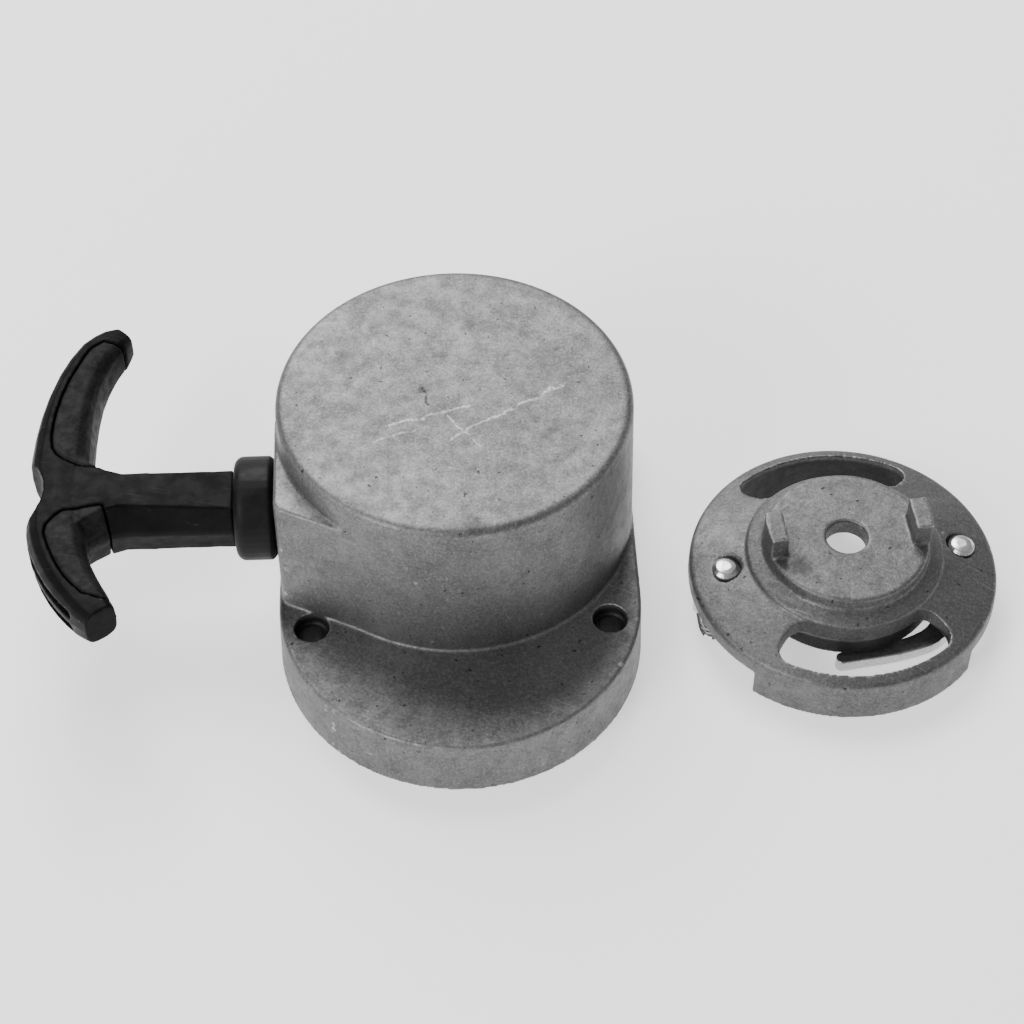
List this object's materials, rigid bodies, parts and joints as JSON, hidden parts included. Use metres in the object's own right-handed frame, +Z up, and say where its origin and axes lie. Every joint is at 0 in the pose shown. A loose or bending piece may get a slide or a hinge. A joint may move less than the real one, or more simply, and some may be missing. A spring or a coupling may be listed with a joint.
{
  "type": "recoil starter",
  "caption": "Recoil starter for a small engine: cast can on a long mounting flange, T-handle on a rope, spring-wound pulley inside, and the loose slotted drive hub with its pawls.",
  "frame": {"origin": "middle of the footprint of both pieces, on the ground they lie on", "axes": "+Z up along the can's and the hub's axes; -X is the way the handle pulls out; +X is toward the drive hub; -Y is toward the flange's long nose"},
  "size_m": [0.2435, 0.1206, 0.06],
  "materials": {
    "casting": "tumbled die casting, satin, stained and scratched",
    "hub_casting": "tumbled die casting, satin, slightly darker",
    "steel": "bright turned or pressed steel",
    "spring_steel": "oiled spring steel",
    "nylon": "moulded black glass-filled nylon",
    "pad_rubber": "soft textured grip insert",
    "buffer_rubber": "smooth moulded rubber buffer",
    "rope": "braided starter rope",
    "pulley_plastic": "moulded glass-filled nylon",
    "bronze": "sintered bearing bush"
  },
  "bodies": {
    "housing": {"housing": "casting", "rope_eyelet": "steel", "spring_case": "steel", "recoil_spring": "spring_steel", "retainer_washer": "steel", "centre_screw": "steel"},
    "pulley": {"pulley": "pulley_plastic", "pulley_bush": "bronze", "rope_coil": "rope", "pulley_knot": "rope", "ratchet_cup": "steel", "cup_screw_1": "steel", "cup_screw_2": "steel", "cup_screw_3": "steel"},
    "handle": {"handle_body": "nylon", "grip_pad_1": "pad_rubber", "grip_pad_2": "pad_rubber", "handle_collar": "buffer_rubber", "rope_run": "rope", "rope_knot": "rope", "knot_washer": "steel"},
    "drive_hub": {"drive_hub": "hub_casting", "pawl_pin_1": "steel", "pawl_pin_2": "steel", "pawl_washer_1": "steel", "pawl_washer_2": "steel", "pawl_spring_1": "spring_steel", "pawl_spring_2": "spring_steel"},
    "pawl_1": {"pawl_1": "steel"},
    "pawl_2": {"pawl_2": "steel"}
  },
  "joints": [
    {"name": "handle_pull", "type": "slide", "parent": "housing", "child": "handle", "axis": [-1, 0, 0], "range_m": [0, 0.7], "stiffness_N_per_m": 20, "springref_m": -0.5, "deforming": ["rope_run"]},
    {"name": "pulley_spin", "type": "hinge", "parent": "housing", "child": "pulley", "pos_m": [-0.0154, 0.0148, 0.034], "axis": [0, 0, 1], "range_deg": [-1440, 0], "deforming": ["recoil_spring"]},
    {"name": "hub_spin", "type": "hinge", "parent": "housing", "child": "drive_hub", "pos_m": [0.0825, -0.0035, 0], "axis": [0, 0, 1], "continuous": true},
    {"name": "pawl_swing_1", "type": "hinge", "parent": "drive_hub", "child": "pawl_1", "pos_m": [0.05211, -0.00605, 0.0048], "axis": [0, 0, 1], "range_deg": [0, 9], "stiffness_Nm_per_rad": 0.01, "springref_deg": -17.19, "deforming": ["pawl_spring_1"]},
    {"name": "pawl_swing_2", "type": "hinge", "parent": "drive_hub", "child": "pawl_2", "pos_m": [0.11289, -0.00095, 0.0048], "axis": [0, 0, 1], "range_deg": [0, 9], "stiffness_Nm_per_rad": 0.01, "springref_deg": -17.19, "deforming": ["pawl_spring_2"]}
  ],
  "couplings": [
    {"joint": "pulley_spin", "follows": "handle_pull", "rad_per_m": -35.7}
  ]
}
